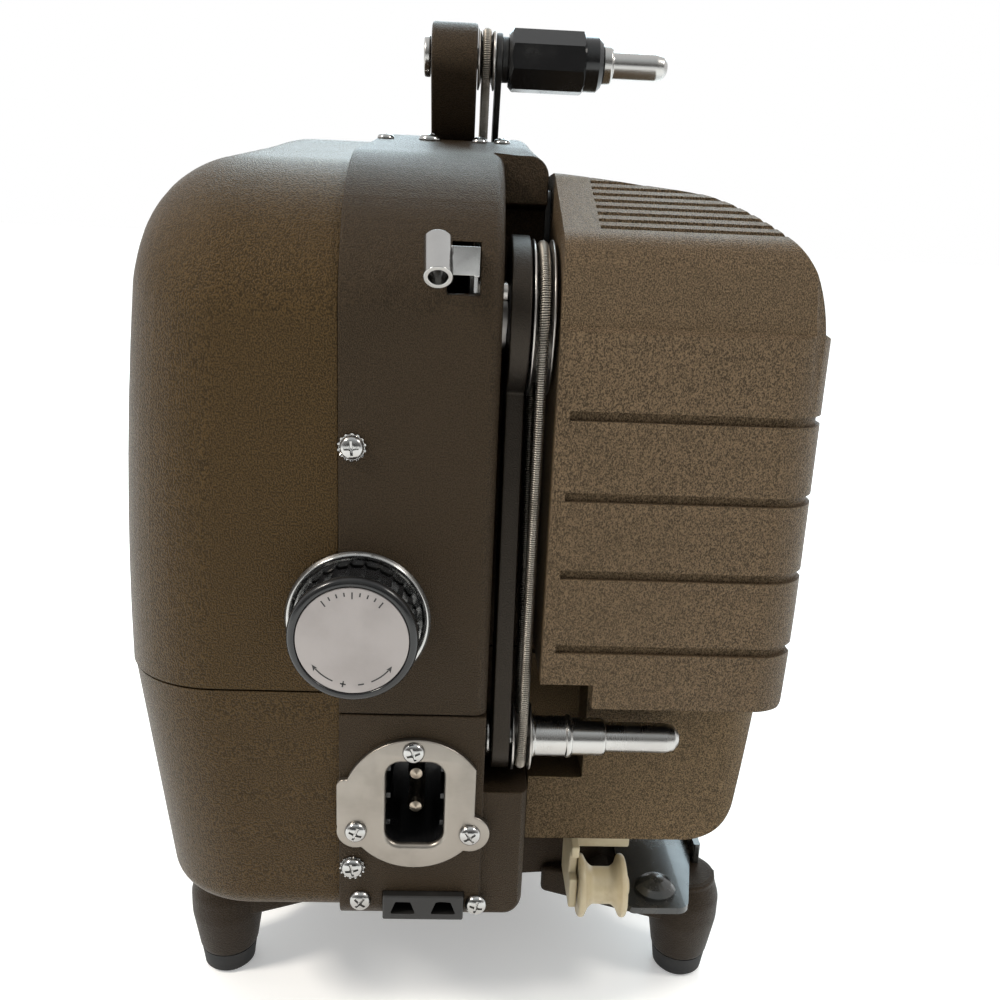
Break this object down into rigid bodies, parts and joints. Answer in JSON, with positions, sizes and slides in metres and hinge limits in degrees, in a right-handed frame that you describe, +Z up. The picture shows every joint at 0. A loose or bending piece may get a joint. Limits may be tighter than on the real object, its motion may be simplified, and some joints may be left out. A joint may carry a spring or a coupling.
{
  "type": "movie projector",
  "caption": "Film projector with folding reel arms, ribbed lamp house, focusing lens and speed knob on a four-legged base.",
  "frame": {"origin": "centre of the overall box's underside, on the surface under the rubber feet", "axes": "+Z up, +Y from the rear face towards the lens and the screen, +X towards the film side"},
  "size_m": [0.176, 0.3203, 0.2858],
  "materials": {
    "frame_paint": "dark brown-grey crackle paint",
    "cover_paint": "olive-taupe leather grain paint",
    "base_paint": "dark brown-grey paint",
    "dark_steel": "glossy dark grey enamel",
    "chrome": "polished chrome plate",
    "turned_steel": "turned steel",
    "aluminium": "brushed aluminium",
    "belt_steel": "oiled spring wire",
    "black_plastic": "black moulding",
    "gloss_black": "glossy black moulding",
    "ivory_plastic": "ivory moulding",
    "rubber": "black rubber",
    "dial_silver": "satin dial",
    "lens_glass": "coated glass",
    "brass": "brass"
  },
  "bodies": {
    "body": {"main_frame": "frame_paint", "connector_panel": "frame_paint", "chassis_plate": "turned_steel", "left_cover_upper": "cover_paint", "left_cover_lower": "cover_paint", "lamp_house_cover": "cover_paint", "lower_right_cover": "cover_paint", "base_casting": "base_paint", "rubber_feet": "rubber", "side_plate": "dark_steel", "roller_bracket": "ivory_plastic", "inlet_plate": "aluminium", "power_inlet": "gloss_black", "inlet_pins": "brass", "outlet_block": "black_plastic", "rear_screws": "chrome", "top_screws": "chrome", "dial_ring": "chrome", "rear_arm_shaft": "turned_steel", "front_arm_shaft": "turned_steel", "film_plate": "dark_steel", "lamp_socket": "aluminium", "projection_lamp": "aluminium", "shutter_housing": "frame_paint", "aperture_plate": "turned_steel", "pressure_plate": "turned_steel", "lens_holder": "dark_steel", "sound_head": "dark_steel", "front_panel": "aluminium", "drive_motor": "turned_steel", "transformer": "turned_steel", "speaker": "black_plastic"},
    "rear_arm": {"rear_arm": "frame_paint", "rear_belt": "belt_steel"},
    "rear_pulley": {"rear_drive_pulley": "aluminium"},
    "rear_spindle": {"rear_spindle": "chrome", "rear_spindle_pulley": "aluminium"},
    "front_arm": {"front_arm": "frame_paint", "front_arm_cheek": "black_plastic", "front_arm_spacer": "turned_steel", "front_belt": "belt_steel", "front_bearing_housing": "gloss_black"},
    "front_pulley": {"front_drive_pulley": "aluminium"},
    "front_spindle": {"front_spindle": "chrome", "front_spindle_pulley": "aluminium"},
    "release_lever": {"release_lever": "chrome", "lock_pin": "turned_steel"},
    "speed_knob": {"speed_knob": "gloss_black", "knob_face": "dial_silver"},
    "exit_roller": {"exit_roller": "ivory_plastic"},
    "lens_barrel": {"lens_barrel": "gloss_black", "lens_glass": "lens_glass"},
    "focus_knob": {"focus_knob": "gloss_black"},
    "upper_sprocket": {"upper_sprocket": "turned_steel"},
    "lower_sprocket": {"lower_sprocket": "turned_steel"},
    "sound_drum": {"sound_drum": "chrome"},
    "guide_roller": {"guide_roller": "ivory_plastic"},
    "function_knob": {"function_knob": "gloss_black"},
    "volume_knob": {"volume_knob": "gloss_black"},
    "tone_knob": {"tone_knob": "gloss_black"}
  },
  "joints": [
    {"name": "rear_arm_fold", "type": "hinge", "parent": "body", "child": "rear_arm", "pos_m": [0.012, -0.125, 0.204], "axis": [1, 0, 0], "range_deg": [-135, 0]},
    {"name": "rear_spindle_spin", "type": "hinge", "parent": "rear_arm", "child": "rear_spindle", "pos_m": [0.04, -0.135, 0.0935], "axis": [1, 0, 0], "continuous": true},
    {"name": "rear_pulley_spin", "type": "hinge", "parent": "rear_arm", "child": "rear_pulley", "pos_m": [0.0176, -0.125, 0.204], "axis": [1, 0, 0], "continuous": true},
    {"name": "front_arm_fold", "type": "hinge", "parent": "body", "child": "front_arm", "pos_m": [-0.006, 0.022, 0.194], "axis": [1, 0, 0], "range_deg": [-85, 0]},
    {"name": "front_spindle_spin", "type": "hinge", "parent": "front_arm", "child": "front_spindle", "pos_m": [0.03, -0.047, 0.276], "axis": [1, 0, 0], "continuous": true},
    {"name": "front_pulley_spin", "type": "hinge", "parent": "front_arm", "child": "front_pulley", "pos_m": [0.0034, 0.022, 0.194], "axis": [1, 0, 0], "continuous": true},
    {"name": "lever_slide", "type": "slide", "parent": "body", "child": "release_lever", "axis": [1, 0, 0], "range_m": [-0.004, 0], "stiffness_N_per_m": 150, "springref_m": 0.002},
    {"name": "speed_turn", "type": "hinge", "parent": "body", "child": "speed_knob", "pos_m": [-0.0249, -0.15, 0.1309], "axis": [0, 1, 0], "range_deg": [-140, 140]},
    {"name": "exit_roller_spin", "type": "hinge", "parent": "body", "child": "exit_roller", "pos_m": [0.044, -0.127, 0.0403], "axis": [1, 0, 0], "continuous": true},
    {"name": "focus_slide", "type": "slide", "parent": "body", "child": "lens_barrel", "axis": [0, 1, 0], "range_m": [-0.0035, 0.006]},
    {"name": "focus_turn", "type": "hinge", "parent": "body", "child": "focus_knob", "pos_m": [0.08, 0.074, 0.15], "axis": [1, 0, 0], "range_deg": [-68, 116]},
    {"name": "upper_sprocket_spin", "type": "hinge", "parent": "body", "child": "upper_sprocket", "pos_m": [0.04, 0.044, 0.206], "axis": [1, 0, 0], "continuous": true},
    {"name": "lower_sprocket_spin", "type": "hinge", "parent": "body", "child": "lower_sprocket", "pos_m": [0.04, 0.044, 0.094], "axis": [1, 0, 0], "continuous": true},
    {"name": "sound_drum_spin", "type": "hinge", "parent": "body", "child": "sound_drum", "pos_m": [0.04, 0.082, 0.084], "axis": [1, 0, 0], "continuous": true},
    {"name": "guide_roller_spin", "type": "hinge", "parent": "body", "child": "guide_roller", "pos_m": [0.04, 0.074, 0.216], "axis": [1, 0, 0], "continuous": true},
    {"name": "function_turn", "type": "hinge", "parent": "body", "child": "function_knob", "pos_m": [0.03, 0.102, 0.208], "axis": [1, 0, 0], "range_deg": [-60, 60]},
    {"name": "volume_turn", "type": "hinge", "parent": "body", "child": "volume_knob", "pos_m": [-0.015, 0.13, 0.118], "axis": [0, 1, 0], "range_deg": [-150, 150]},
    {"name": "tone_turn", "type": "hinge", "parent": "body", "child": "tone_knob", "pos_m": [0.005, 0.13, 0.118], "axis": [0, 1, 0], "range_deg": [-150, 150]}
  ],
  "couplings": [
    {"joint": "rear_spindle_spin", "follows": "rear_pulley_spin", "ratio": 2.3784},
    {"joint": "front_spindle_spin", "follows": "front_pulley_spin", "ratio": 2.3784},
    {"joint": "focus_turn", "follows": "focus_slide", "rad_per_m": 333.33},
    {"joint": "lower_sprocket_spin", "follows": "upper_sprocket_spin", "ratio": 1}
  ]
}
